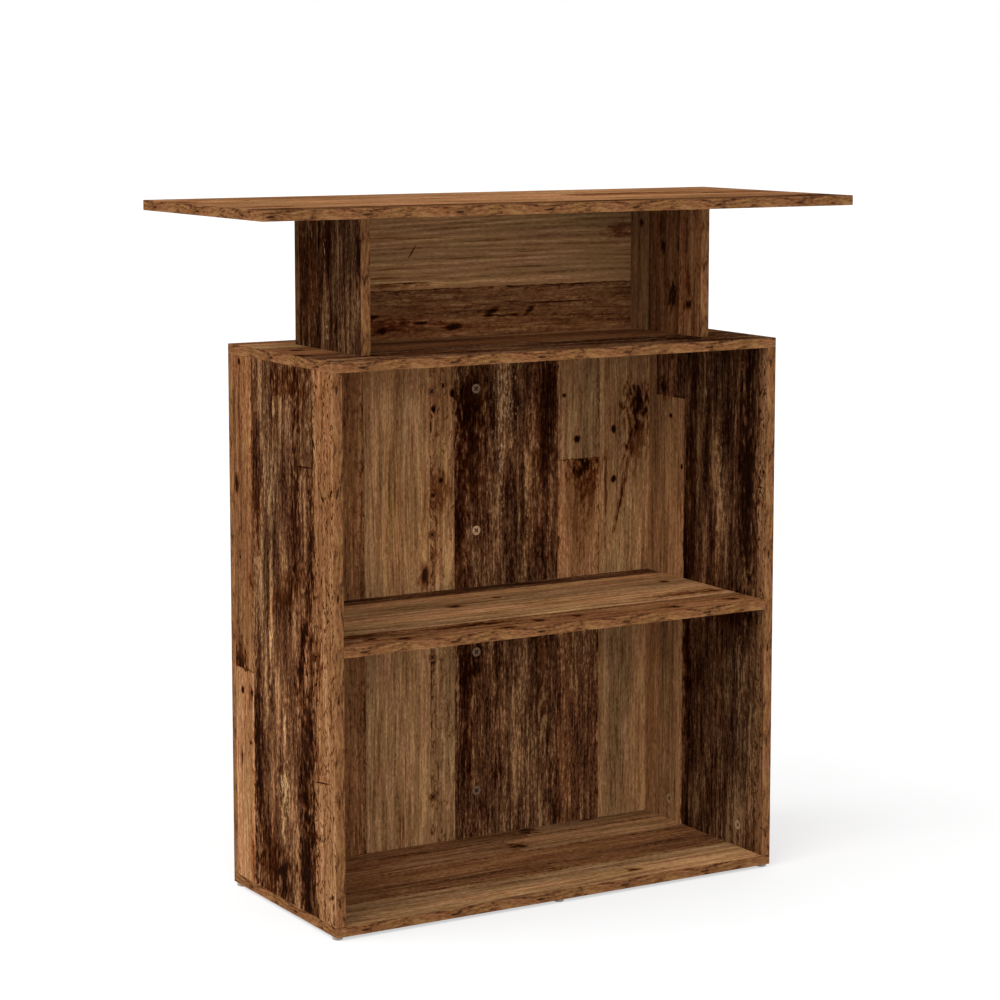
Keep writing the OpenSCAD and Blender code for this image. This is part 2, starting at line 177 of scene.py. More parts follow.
class DeskStage(bpy.types.PropertyGroup):
    """Studio and camera."""

    floor: colour("Floor", "Colour of the floor", "ffffff")
    sky: share("Sky", "Strength of the white surroundings", 0.55, 4)
    key: share("Key light", "Strength of the light from the upper left", 1.75, 20)
    fill: share("Fill light", "Strength of the light from the front", 1.1, 20)
    spread: angle("Spread", "Angle that either light fills", 60)
    eye: FloatVectorProperty(
        name="Eye",
        description="Place of the camera",
        default=(-2.1673, -3.6426, 1.2227),
        size=3,
        subtype="XYZ",
    )
    turn: angle("Turn", "Turn of the camera from +Y towards +X", 30.651)
    tilt: angle("Tilt", "How far the camera looks down", 7.316)
    lens: FloatProperty(
        name="Lens", description="Focal length on a 36 mm sensor, in mm", default=101.52, min=10
    )
    shift: FloatProperty(name="Shift", description="Vertical shift of the lens", default=-0.06)


# Wiring of shader nodes


class Wiring:
    """Adds nodes to a tree, each fed by values or by the outputs of other nodes."""

    def __init__(self, tree):
        self.nodes = tree.nodes
        self.links = tree.links

    def feed(self, socket, value):
        if isinstance(value, bpy.types.NodeSocket):
            self.links.new(value, socket)
        elif isinstance(socket, bpy.types.NodeSocketColor) and len(value) == 3:
            socket.default_value = (*value, 1)
        else:
            socket.default_value = value

    def add(self, kind, inputs=(), **settings):
        node = self.nodes.new("ShaderNode" + kind)
        for name, value in settings.items():
            setattr(node, name, value)
        for key, value in dict(inputs).items():
            self.feed(node.inputs[key], value)
        return node

    def math(self, operation, *values, clamp=False):
        return self.add("Math", enumerate(values), operation=operation, use_clamp=clamp).outputs[0]

    def fold(self, operation, first, *others):
        for other in others:
            first = self.math(operation, first, other)
        return first

    total = partialmethod(fold, "ADD")
    less = partialmethod(fold, "SUBTRACT")
    times = partialmethod(fold, "MULTIPLY")
    most = partialmethod(fold, "MAXIMUM")
    least = partialmethod(fold, "MINIMUM")

    def point(self, x, y, z):
        return self.add("CombineXYZ", {0: x, 1: y, 2: z}).outputs[0]

    def axes(self, vector):
        return self.add("SeparateXYZ", {0: vector}).outputs

    def noise(self, vector, detail=2.0, roughness=0.5):
        inputs = {"Vector": vector, "Scale": 1.0, "Detail": detail, "Roughness": roughness}
        return self.add("TexNoise", inputs).outputs["Fac"]

    def swing(self, noise, strength):
        """A noise that swings about zero."""
        return self.times(self.less(noise, 0.5), strength)

    def mix(self, kind, factor, below, above):
        """Goes from one value to another. A Mix node has sockets of its own for each kind."""
        first, result = {"FLOAT": (2, 0), "VECTOR": (4, 1), "RGBA": (6, 2)}[kind]
        inputs = {0: factor, first: below, first + 1: above}
        return self.add("Mix", inputs, data_type=kind).outputs[result]

    blend = partialmethod(mix, "RGBA")
    between = partialmethod(mix, "FLOAT")

    def tint(self, paint_colour, by):
        inputs = {0: paint_colour, 1: by}
        return self.add("VectorMath", inputs, operation="MULTIPLY").outputs[0]

    def step(self, value, low, high):
        """Rises smoothly from 0 at low to 1 at high, or falls where high is the lower."""
        inputs = {"Value": value, "From Min": low, "From Max": high}
        return self.add("MapRange", inputs, interpolation_type="SMOOTHSTEP").outputs[0]

    def grain_colour(self, tone, low, high, given):
        """The deep colour at a low tone, the main one at 0.5 and the bright one at a high tone."""
        lower = self.blend(self.step(tone, low, 0.5), given["Deep"], given["Main"])
        return self.blend(self.step(tone, 0.5, high), lower, given["Bright"])

    def cover(self, mask, below, border, core):
        """Goes over to the border's colour up to half of the mask, and from there to the core's."""
        half = self.blend(self.math("MULTIPLY", mask, 2.0, clamp=True), below, border)
        return self.blend(self.math("MULTIPLY_ADD", mask, 2.0, -1.0, clamp=True), half, core)

    def oval(self, along, across, half_length, half_width):
        """Distance from the middle of an oval, as a share of its own reach."""
        u = self.math("DIVIDE", along, half_length)
        v = self.math("DIVIDE", across, half_width)
        return self.math("SQRT", self.total(self.times(u, u), self.times(v, v)))

    def group(self, tree, inputs):
        return self.add("Group", inputs, node_tree=tree).outputs


def new_group(name, inputs, outputs):
    """An empty node group with named sockets, and its wiring."""
    tree = bpy.data.node_groups.new(name, "ShaderNodeTree")
    for in_out, sockets in (("INPUT", inputs), ("OUTPUT", outputs)):
        for label, kind in sockets.items():
            tree.interface.new_socket(name=label, in_out=in_out, socket_type="NodeSocket" + kind)
    given = tree.nodes.new("NodeGroupInput").outputs
    return tree, Wiring(tree), given, tree.nodes.new("NodeGroupOutput").inputs


def shared(build):
    """Builds a node group the first time that a material asks for it."""
    name = build.__name__.replace("_", " ")

    def get():
        return bpy.data.node_groups.get(name) or build(name)

    return get


def floats(*names):
    return dict.fromkeys(names, "Float")


# A plank's print is held by three colours, from its dark grain to its light one, and by its
# character: how weathered it is, how strong its growth rings are and how many dark flecks it has
COLOURS = dict.fromkeys(("Deep", "Main", "Bright"), "Color")
LOOK = {**COLOURS, "Character": "Vector", "Seed": "Float"}
PRINTED = {"Color": "Color", "Height": "Float"}


@shared
def plank_layout(name):
    """Lays one plank over the planks below it, and tells how far inside its edges a point is."""
    own = {"Own " + key.lower(): kind for key, kind in LOOK.items()}
    place = floats("Along", "Across", "Side", "Left", "Right", "Low", "High")
    inputs = {**place, **LOOK, "Inside": "Float", **own}
    tree, w, given, result = new_group(name, inputs, {**LOOK, "Inside": "Float"})
    inside = w.least(
        w.less(given["Across"], given["Left"]),
        w.less(given["Right"], given["Across"]),
        w.less(given["Along"], given["Low"]),
        w.less(given["High"], given["Along"]),
    )
    here = w.times(w.math("GREATER_THAN", inside, 0.0), given["Side"])
    for key in COLOURS:
        w.feed(result[key], w.blend(here, given[key], given["Own " + key.lower()]))
    character = w.mix("VECTOR", here, given["Character"], given["Own character"])
    w.feed(result["Character"], character)
    w.feed(result["Seed"], w.between(here, given["Seed"], given["Own seed"]))
    w.feed(result["Inside"], w.between(here, given["Inside"], inside))
    return tree


@shared
def plank_print(name):
    """Colour and relief of a plank, from its place in the board and its look."""
    inputs = {**floats("Along", "Across", "Inside"), **LOOK}
    tree, w, given, result = new_group(name, inputs, {**PRINTED, "Grit": "Float"})
    along, across, inside = given["Along"], given["Across"], given["Inside"]
    weathered, rings, flecks = w.axes(given["Character"])[:3]

    def noise(side, per_m_across, per_m_along, offset, detail, roughness=0.5):
        x, y = w.times(side, per_m_across), w.times(along, per_m_along)
        return w.noise(w.point(x, y, w.total(given["Seed"], offset)), detail, roughness)

    side = w.total(across, w.swing(noise(across, 6, 1.6, 0.0, 1), 16 * MM))
    broad = noise(side, 16, 1.5, 1.3, 2)
    streak = noise(side, 95, 5, 2.7, 4, 0.6)
    fibre = noise(side, 420, 22, 4.1, 2)
    speck = noise(across, 400, 110, 5.9, 3, 0.7)
    blotch = noise(side, 42, 6, 7.7, 5, 0.66)
    line = noise(side, 300, 8, 11.1, 2)
    chips = noise(across, 90, 40, 13.7, 3, 0.6)
    hue = noise(side, 60, 9, 15.1, 2)
    slants = [
        noise(w.total(across, w.times(along, slant)), 220, 75, 9.3 + slant, 2, 0.6)
        for slant in (-0.4, 0.4)
    ]

    ring_width = 9 * MM
    ring_phase = w.total(w.times(side, 2 * math.pi / ring_width), w.times(broad, 34))
    ring = w.times(w.math("SINE", ring_phase), rings, 0.16)
    grain = w.total(w.swing(broad, 1.1), w.swing(streak, 1.9), w.swing(fibre, 1.2), w.swing(speck, 1.7))
    sound = w.total(0.53, w.times(grain, w.between(rings, 1.1, 0.5)), ring)
    worn = w.total(
        0.45, w.swing(blotch, 2.0), w.swing(streak, 1.7), w.swing(speck, 2.0), w.swing(fibre, 1.2)
    )
    tone = w.math("ADD", w.between(weathered, sound, worn), 0, clamp=True)
    printed = w.grain_colour(tone, 0.0, 1.0, given)
    printed = w.tint(printed, w.blend(w.step(broad, 0.3, 0.7), (0.95, 1.01, 1.04), (1.05, 0.99, 0.96)))
    printed = w.tint(printed, w.blend(w.step(hue, 0.35, 0.65), (0.99, 1.01, 0.94), (1.03, 0.98, 1.0)))

    near_edge = w.step(inside, 13 * MM, 1 * MM)
    wear = w.total(w.most(*slants), w.times(near_edge, 0.025), w.swing(blotch, 0.15))
    fleck = w.times(w.step(wear, 0.585, 0.70), w.total(flecks, w.times(near_edge, 0.25)))
    crease = w.times(w.step(line, 0.60, 0.72), w.between(weathered, 0.5, 0.3))
    bites = w.times(w.step(w.total(inside, w.swing(chips, 32 * MM)), 0.2 * MM, -2 * MM), 0.9)
    seam = w.times(w.step(inside, 1.3 * MM, 0.2 * MM), 0.5)
    dark = w.math("MAXIMUM", w.most(fleck, crease, seam), bites, clamp=True)
    black = w.blend(0.7, given["Deep"], (0, 0, 0))
    w.feed(result["Color"], w.cover(dark, printed, w.tint(printed, (0.55, 0.40, 0.30)), black))
    w.feed(result["Height"], w.less(tone, w.times(dark, 1.2)))
    w.feed(result["Grit"], streak)
    return tree


@shared
def plank_mark(name):
    """Lays one knot, stain, streak, crack or nail hole over the print, with its own border."""
    inputs = floats("Along", "Across", "Ragged noise", "Side", "At along", "At across")
    inputs |= floats("Half length", "Half width", "Turn", "Softness", "Raggedness", "Sparseness")
    inputs |= floats("Strength", "Height", "Depth")
    inputs |= {"Color": "Color", "Mark color": "Color", "Border tint": "Vector"}
    tree, w, given, result = new_group(name, inputs, PRINTED)
    u = w.less(given["Along"], given["At along"])
    v = w.less(given["Across"], given["At across"])
    sine, cosine = w.math("SINE", given["Turn"]), w.math("COSINE", given["Turn"])
    turned_u = w.total(w.times(u, cosine), w.times(v, sine))
    turned_v = w.less(w.times(v, cosine), w.times(u, sine))
    distance = w.oval(turned_u, turned_v, given["Half length"], given["Half width"])
    ragged = w.swing(given["Ragged noise"], given["Raggedness"])
    edge = w.total(distance, ragged, given["Sparseness"])
    inner, outer = w.less(1.0, given["Softness"]), w.total(1.0, given["Softness"])
    mask = w.times(w.step(edge, outer, inner), given["Strength"], given["Side"])
    border = w.tint(given["Color"], given["Border tint"])
    w.feed(result["Color"], w.cover(mask, given["Color"], border, given["Mark color"]))
    w.feed(result["Height"], w.less(given["Height"], w.times(mask, given["Depth"])))
    return tree


@shared
def strip_print(name):
    """Print of an edge strip: fine grain with a dark dash, the same again every repeat."""
    numbers = floats("Along", "Across", "Seed", "Repeat", "Dash along", "Dash across")
    tree, w, given, result = new_group(name, {**numbers, **COLOURS}, PRINTED)
    along, across, seed, repeat = (given[key] for key in ("Along", "Across", "Seed", "Repeat"))
    turns = w.math("DIVIDE", w.less(along, given["Dash along"]), repeat)
    round_turn = w.times(turns, 2 * math.pi)
    sine, cosine = w.math("SINE", round_turn), w.math("COSINE", round_turn)

    def noise(per_m_across, reach, offset, detail, roughness=0.5):
        """The print goes round a ring in noise space, so that it repeats without a seam."""
        x = w.total(w.times(cosine, reach), w.times(across, per_m_across))
        return w.noise(w.point(x, w.times(sine, reach), w.total(seed, offset)), detail, roughness)

    grain = noise(260, 0.8, 0.0, 3, 0.65)
    broad = noise(60, 0.35, 3.0, 2)
    small = noise(300, 1.5, 6.0, 2)
    hue = noise(40, 0.6, 9.0, 2)
    fine = w.noise(w.point(w.times(across, 420), w.times(along, 110), seed), 3, 0.7)

    def dash(shift, lift, half_length, half_width):
        from_dash = w.times(w.less(w.math("FRACT", w.total(turns, shift)), 0.5), repeat)
        from_line = w.less(across, given["Dash across"], lift)
        distance = w.oval(from_dash, from_line, half_length, half_width)
        return w.step(w.total(distance, w.swing(fine, 2.0)), 1.5, 0.6)

    large_dash = dash(0.5, 0.0, 7 * MM, 1.4 * MM)
    small_dash = dash(0.36, 3.6 * MM, 4.5 * MM, 0.9 * MM)
    specks = w.times(w.step(small, 0.60, 0.71), 0.55)
    dark = w.most(large_dash, w.times(small_dash, 0.6), specks)
    tone = w.total(0.5, w.swing(grain, 1.9), w.swing(broad, 1.2), w.swing(fine, 1.9))
    tint = w.blend(w.step(hue, 0.35, 0.65), (0.98, 1.01, 0.93), (1.03, 0.98, 1.00))
    printed = w.tint(w.grain_colour(tone, 0.05, 0.95, given), tint)
    black = w.blend(0.5, given["Deep"], (0, 0, 0))
    w.feed(result["Color"], w.blend(w.times(dark, 0.9), printed, black))
    w.feed(result["Height"], w.less(tone, dark))
    return tree


@shared
def surface_speckle(name):
    """Uneven tone of a cast, plated or moulded surface."""
    inputs = {"Point": "Vector", "Per metre": "Float", "Base": "Color", "Change": "Float"}
    tree, w, given, result = new_group(name, inputs, {"Color": "Color", "Value": "Float"})
    inputs = {0: given["Point"], 3: given["Per metre"]}
    value = w.noise(w.add("VectorMath", inputs, operation="SCALE").outputs[0], 4, 0.6)
    inputs = {"Color": given["Base"], "Saturation": 0.8, "Value": 0.55}
    worn = w.add("HueSaturation", inputs).outputs[0]
    amount = w.times(w.step(value, 0.62, 0.38), given["Change"])
    w.feed(result["Color"], w.blend(amount, given["Base"], worn))
    w.feed(result["Value"], value)
    return tree


# Planks and marks, in millimetres of the desk's own axes


class Plank(NamedTuple):
    """A plank of the print, between two places across the grain and two along it."""

    tone: str
    across: tuple = (-FAR, FAR)
    along: tuple = (-FAR, FAR)
    light: float = 1.0


class Mark(NamedTuple):
    """A mark on the print, an oval whose length goes along the grain before it is turned.

    It may end at a seam, and is then drawn only where the place along the grain is between the ends.
    """

    kind: str
    across: float
    along: float
    half_width: float
    half_length: float
    turn: float = 0.0
    ends: tuple = ()


class Kind(NamedTuple):
    """How a kind of mark is drawn: its colour in the settings and the tint of its border."""

    tint: str
    border: tuple
    softness: float
    raggedness: float
    sparseness: float
    strength: float
    depth: float
    noise: str = "medium"


# Tones of planks and their characters. A tone takes the settings' colours of its own name, or of
# the name in TONE_COLOURS
CHARACTER = {
    "pine": (0.0, 0.3, 0.3),
    "flecked": (0.1, 0.2, 1.2),
    "red": (0.15, 0.3, 0.4),
    "olive": (0.0, 0.35, 0.2),
    "ringed": (0.0, 1.0, 0.1),
    "spotted": (0.15, 0.2, 0.6),
    "bark": (1.0, 0.0, 0.2),
    "dark": (0.75, 0.2, 0.3),
}
TONE_COLOURS = {"flecked": "pine", "ringed": "olive", "spotted": "olive", "dark": "bark"}
SINGED = (0.55, 0.39, 0.30)
GOLDEN = (1.30, 1.27, 1.18)
MARKS = {
    "nail": Kind("stain", SINGED, 0.45, 1.6, 0.0, 1.0, 1.5),
    "knot": Kind("stain", SINGED, 0.7, 3.0, 0.0, 0.95, 0.4),
    "stain": Kind("stain", SINGED, 0.8, 5.0, 0.1, 0.95, 0.1),
    "shade": Kind("bark_deep", SINGED, 0.9, 5.0, 0.1, 0.7, 0.0),
    "tan": Kind("bark_bright", GOLDEN, 0.9, 4.0, 0.1, 0.6, 0.0),
    "flakes": Kind("flake", GOLDEN, 0.4, 7.0, 0.75, 0.7, -0.3, "fine"),
    "gold": Kind("gold", GOLDEN, 0.8, 7.0, 0.45, 0.85, -0.2, "patchy"),
    "glow": Kind("bark_bright", (1.25, 1.25, 1.22), 1.0, 3.0, 0.0, 0.5, 0.0),
    "crack": Kind("stain", SINGED, 0.4, 0.8, 0.0, 0.9, 1.2),
    "dim": Kind("bark_deep", (0.74, 0.69, 0.63), 1.0, 3.0, 0.0, 0.5, 0.0),
}
# Noises that make the marks ragged: per metre across and along the grain, octaves and roughness
RAGGED = {
    "medium": (170, 60, 3, 0.6),
    "fine": (340, 120, 2, 0.5),
    "patchy": (190, 60, 6, 0.85),
}


class Board(NamedTuple):
    """Axes along and across a board's grain, and what is on its low and its high face.

    A face is a tuple of planks, each over the ones before, and of marks, each as a Mark's values.
    """

    along: str
    across: str
    low: tuple
    high: tuple


# Faces that follow no view: widths of their planks, the share of planks that end within the face,
# and half sizes of their marks
NARROWEST, WIDEST, SPARE_REST = 70, 170, 40
CUT_SHARE = 0.6
SPARE_MARKS = {"knot": (7, 11), "nail": (4, 4), "crack": (0.8, 25), "shade": (12, 90)}
MIXED = ("pine", "bark", "red", "olive")


def spare_face(seed, tones, edges, ends):
    """A face that follows no view: planks of chance widths, with a few marks."""
    chance = random.Random(seed)
    things = []
    left = edges[0]
    while left < edges[1]:
        right = left + chance.uniform(NARROWEST, WIDEST)
        if edges[1] - right < SPARE_REST:
            right = FAR
        first, second = chance.sample(tones, 2)
        cut = chance.uniform(*ends)
        middle = (left + min(right, edges[1])) / 2
        things.append(Plank(first, (left if things else -FAR, right)))
        if chance.random() < CUT_SHARE:
            things.append(Plank(second, (left if left > edges[0] else -FAR, right), (cut, FAR)))
            things.append(("stain", middle, cut + 12, 14, 16))
        for _ in range(chance.randint(1, 3)):
            kind = chance.choice(tuple(SPARE_MARKS))
            across = middle + chance.uniform(-30, 30)
            things.append((kind, across, chance.uniform(*ends), *SPARE_MARKS[kind]))
        left = right
    return tuple(things)


# Where such planks may end along the grain, in upright boards and in flat ones
UP = (20, 815)
SIDEWAYS = (-480, 480)
BOARDS = {
    "left_side_panel": Board("Z", "Y", low=(
        Plank("bark", light=1.08), Plank("flecked", (-FAR, -106), light=0.98),
        Plank("pine", (92, FAR), (-FAR, 344)), Plank("red", (92, FAR), (344, FAR), 0.85),
        ("nail", 132, 806, 4, 5), ("knot", 144, 622, 6, 14), ("nail", 136, 512, 3, 3),
        ("shade", 101, 478, 5, 12), ("stain", 139, 352, 19, 24, 0, (344, FAR)),
        ("nail", 132, 310, 5, 6), ("stain", 100, 310, 5, 9), ("stain", 104, 234, 5, 3),
        ("stain", 137, 205, 2.5, 16), ("shade", 97, 60, 8, 40), ("dim", -140, 640, 45, 300),
        ("shade", -117, 395, 9, 45), ("shade", 17, 770, 8, 50), ("stain", -50, 625, 12, 95, -0.05),
        ("stain", -98, 540, 8, 120), ("shade", -70, 780, 30, 45), ("shade", -20, 790, 40, 25),
        ("shade", 75, 600, 12, 70), ("shade", -20, 480, 60, 22, 0.5),
        ("stain", -70, 410, 12, 70, -0.2), ("stain", -85, 240, 20, 130), ("stain", -80, 80, 26, 90),
        ("stain", 76, 200, 13, 150), ("shade", 40, 60, 30, 60), ("stain", 0, 60, 24, 34),
        ("tan", 34, 230, 16, 170), ("tan", 36, 470, 6, 130), ("gold", -9, 186, 24, 44),
        ("gold", -3, 128, 11, 38), ("gold", -9, 270, 8, 60), ("gold", 36, 395, 5, 85),
        ("gold", 18, 755, 5, 28), ("tan", -70, 475, 20, 18), ("crack", -80, 673, 26, 1.2, 0.05),
        ("crack", -128, 223, 22, 1.2, 0.12), ("crack", -132, 640, 0.8, 20, 0.5),
        ("crack", -108, 712, 3, 8, 0.4),
    ), high=spare_face("left inside", MIXED, (-170, 155), UP)),
    "right_side_panel": Board("Z", "Y", low=(
        Plank("bark", light=0.88), Plank("olive", (52, FAR), light=1.05),
        Plank("flecked", (-FAR, -147), light=0.66), Plank("dark", (52, 133), (715, FAR), 1.3),
        ("stain", 112, 729, 15, 13), ("nail", 91, 684, 4, 4), ("nail", 60, 605, 3, 4),
        ("shade", 34, 520, 12, 240), ("stain", -122, 590, 20, 190), ("tan", -42, 590, 16, 150),
        ("gold", -47, 570, 11, 110), ("gold", -38, 640, 6, 40), ("tan", 4, 560, 12, 200),
        ("flakes", -6, 730, 4, 12), ("crack", -152, 598, 10, 1.2), ("shade", -100, 395, 40, 30),
        ("tan", -125, 330, 7, 45), ("tan", -60, 300, 10, 60), ("shade", 40, 300, 10, 90),
    ), high=spare_face("right outside", MIXED, (-170, 155), UP)),
    "left_back_board": Board("Z", "X", low=(
        Plank("olive"), Plank("red", (-FAR, -160)), Plank("spotted", (-44, FAR), light=0.96),
        ("nail", -2, 735, 5, 7), ("nail", -37, 712, 4, 6), ("shade", -28, 580, 14, 34),
        ("nail", -37, 576, 3, 4), ("glow", -60, 470, 50, 50), ("nail", -20, 748, 3, 5),
        ("knot", -54, 449, 8, 17), ("nail", -24, 600, 3, 4), ("knot", -40, 316, 5, 8),
        # The dim marks at 730 and 790 mm are painted shadow under the cabinet top; the one at 560 mm is
        # a tone of the print
        ("dim", -105, 560, 20, 90), ("dim", -24, 730, 24, 70), ("dim", -110, 790, 50, 36),
    ), high=spare_face("left back", MIXED, (-380, 0), UP)),
    "right_back_board": Board("Z", "X", low=(
        Plank("bark", light=1.35), Plank("olive", (190, FAR), light=0.9),
        Plank("olive", (190, 269), (616, FAR), 0.9), Plank("pine", (190, 269), (-FAR, 616), 1.27),
        Plank("dark", (190, 269), (-FAR, 416), 1.5),
        ("shade", 30, 720, 30, 60), ("shade", 32, 640, 20, 70), ("shade", 12, 560, 8, 180),
        ("shade", 166, 650, 16, 160), ("tan", 96, 690, 18, 90), ("flakes", 92, 735, 18, 70),
        ("flakes", 84, 610, 5, 60), ("tan", 133, 560, 7, 110), ("gold", 132, 590, 5, 90),
        ("stain", 240, 607, 28, 17, 0, (-FAR, 616)), ("shade", 244, 580, 16, 34, 0, (-FAR, 616)),
        ("dim", 255, 540, 12, 70), ("dim", 214, 575, 26, 46, 0, (-FAR, 616)),
        ("nail", 227, 649, 6, 6), ("nail", 202, 720, 4, 4), ("nail", 297, 660, 5, 6),
        ("nail", 297, 579, 5, 6), ("stain", 343, 700, 24, 28), ("shade", 340, 650, 18, 50),
        ("stain", 325, 636, 3, 30, 0.35), ("shade", 313, 555, 3.5, 70, 0.25),
        ("crack", 309, 535, 1.2, 40, 0.22), ("shade", 282, 560, 2.5, 70),
        ("glow", 320, 480, 60, 95), ("stain", 41, 330, 8, 60), ("shade", 22, 280, 9, 160),
        ("tan", 100, 240, 24, 170), ("shade", 160, 300, 12, 110), ("shade", 225, 380, 18, 30),
        ("tan", 210, 200, 12, 160),
    ), high=spare_face("right back", MIXED, (0, 380), UP)),
    "counter_back_panel": Board("X", "Z", low=(
        Plank("ringed", light=1.15), Plank("red", (-FAR, 905), light=0.98),
        ("shade", 912, -160, 3, 60), ("crack", 915, -120, 1.2, 40),
        ("crack", 962, -110, 1.2, 12, 1.0), ("knot", 866, 31, 5, 11, 0.5),
        ("knot", 865, 98, 4, 10, 0.5), ("stain", 860, 62, 2, 32), ("stain", 854, -100, 2, 24),
        ("stain", 866, -178, 4, 10), ("knot", 844, -162, 6, 7), ("dim", 878, -100, 12, 34),
        ("crack", 877, 150, 1.4, 60), ("knot", 846, -40, 4, 18), ("shade", 984, 268, 11, 22),
        ("shade", 850, -150, 10, 60),
    ), high=spare_face("counter back", ("pine", "bark", "red"), (830, 1030), (-290, 290))),
    "counter_left_upright": Board("Z", "Y", low=(
        Plank("bark", light=0.7),
        ("shade", 60, 930, 30, 90), ("tan", -75, 870, 22, 60), ("shade", 0, 1000, 20, 40),
        ("stain", -98, 980, 6, 60), ("flakes", 7, 976, 3, 22), ("flakes", 3, 860, 4, 16),
        ("stain", -28, 862, 8, 16),
    ), high=(
        Plank("olive"), Plank("bark", (-60, 20)),
        ("knot", 60, 900, 8, 10), ("nail", -80, 990, 4, 4),
    )),
    "counter_right_upright": Board("Z", "Y", low=(
        Plank("olive", light=0.78), Plank("red", (-45, 38), light=0.76),
        Plank("red", (-FAR, -45), light=1.27),
        ("knot", 0, 963, 6, 9), ("shade", 4, 995, 7, 16), ("stain", -29, 890, 12, 22),
        ("knot", -72, 878, 12, 7, 0.5), ("shade", -72, 905, 5, 26), ("knot", 58, 998, 5, 6),
    ), high=(
        Plank("pine"), Plank("bark", (-30, 70)),
        ("knot", -70, 940, 8, 12), ("nail", 80, 880, 4, 4),
    )),
    "worktop": Board("X", "Y",
        low=spare_face("worktop underside", MIXED, (-200, 200), SIDEWAYS),
        high=(
            Plank("pine", light=0.98), Plank("red", (-FAR, -144), light=0.52),
            Plank("red", (-20, 60), (130, FAR), 0.85),
            ("stain", -166, -455, 14, 32), ("stain", -155, -250, 7, 110), ("stain", -158, 70, 10, 60),
            ("stain", -155, 462, 18, 42), ("shade", 85, -490, 26, 22), ("dim", 30, -455, 35, 45),
            ("glow", 90, -420, 28, 40), ("glow", 15, -300, 40, 50), ("dim", 150, -300, 40, 120),
            ("shade", -90, -440, 16, 40), ("dim", -95, 330, 36, 110), ("shade", 40, 230, 14, 60),
            ("glow", -60, 200, 30, 110), ("knot", -5, 378, 9, 16), ("dim", 130, 400, 40, 90),
            ("nail", 100, -380, 5, 6), ("crack", -40, -300, 1.4, 70),
        ),
    ),
    "cabinet_top": Board("X", "Y",
        low=spare_face("cabinet ceiling", MIXED, (-170, 170), SIDEWAYS),
        high=(
            Plank("red"), Plank("dark", (-FAR, -50), light=1.2), Plank("olive", (60, 140)),
            ("shade", -110, -200, 12, 120), ("stain", -75, 150, 8, 90), ("stain", -55, -368, 14, 12),
            ("knot", -105, -280, 7, 12), ("stain", -110, 250, 20, 60), ("knot", 20, -340, 8, 12),
            ("tan", -70, -330, 4, 60), ("knot", -140, 250, 7, 11),
        ),
    ),
    "middle_shelf": Board("X", "Y",
        low=spare_face("under the shelf", ("pine", "bark", "red"), (-170, 155), SIDEWAYS),
        high=(
            Plank("olive", light=1.2), Plank("red", (-FAR, -95)), Plank("dark", (115, FAR)),
            ("knot", 26, -73, 8, 13), ("knot", 60, 20, 5, 8), ("shade", -60, 300, 14, 60),
            ("knot", -132, -302, 7, 10), ("knot", -153, -257, 8, 13), ("knot", -157, -90, 9, 16),
            ("knot", -132, -19, 7, 11), ("knot", -132, 47, 7, 9), ("knot", -145, 210, 7, 14),
            ("knot", -137, 327, 7, 12), ("knot", -62, 343, 6, 9), ("stain", -115, -120, 9, 60),
            ("shade", -105, -300, 10, 40), ("knot", 40, 320, 6, 10),
        ),
    ),
    "cabinet_bottom": Board("X", "Y",
        low=spare_face("under the cabinet", ("pine", "bark", "red"), (-170, 170), SIDEWAYS),
        high=spare_face("cabinet floor", ("pine", "red", "olive"), (-170, 170), SIDEWAYS),
    ),
}


# Materials


def new_material(name):
    """A material with one glossy shader, its wiring and the Object coordinates."""
    material = bpy.data.materials.new(name)
    material.use_nodes = True
    w = Wiring(material.node_tree)
    return material, w, w.nodes["Principled BSDF"], w.add("TexCoord").outputs["Object"]


def set_surface(w, shader, paint_colour, roughness, height, depth, specular=0.5, metallic=0.0):
    """Gives a shader its colour, its gloss and its relief."""
    bump = w.add("Bump", {"Height": height, "Distance": depth, "Strength": 1.0})
    inputs = {
        "Base Color": paint_colour,
        "Roughness": roughness,
        "Specular IOR Level": specular,
        "Metallic": metallic,
        "Normal": bump.outputs[0],
    }
    for key, value in inputs.items():
        w.feed(shader.inputs[key], value)


def shades(settings, prefix, light):
    """The deep, main and bright colour of a print, each as light as asked."""
    for part in ("deep", "main", "bright"):
        yield part, tuple(min(c * light, 1.0) for c in getattr(settings, prefix + part))


def lay_planks(w, things, side, place, look, settings, name):
    """Chains the planks of one face, each over the ones before."""
    for number, plank in enumerate(t for t in things if isinstance(t, Plank)):
        prefix = TONE_COLOURS.get(plank.tone, plank.tone) + "_"
        bounds = zip(("Left", "Right", "Low", "High"), (*plank.across, *plank.along))
        inputs = {
            **place,
            **look,
            "Side": side,
            **{key: value * MM for key, value in bounds},
            **{"Own " + part: shade for part, shade in shades(settings, prefix, plank.light)},
            "Own character": CHARACTER[plank.tone],
            "Own seed": random.Random(f"{name} {number}").uniform(0, 100),
        }
        outputs = w.group(plank_layout(), inputs)
        look = {key: outputs[key] for key in (*LOOK, "Inside")}
    return look


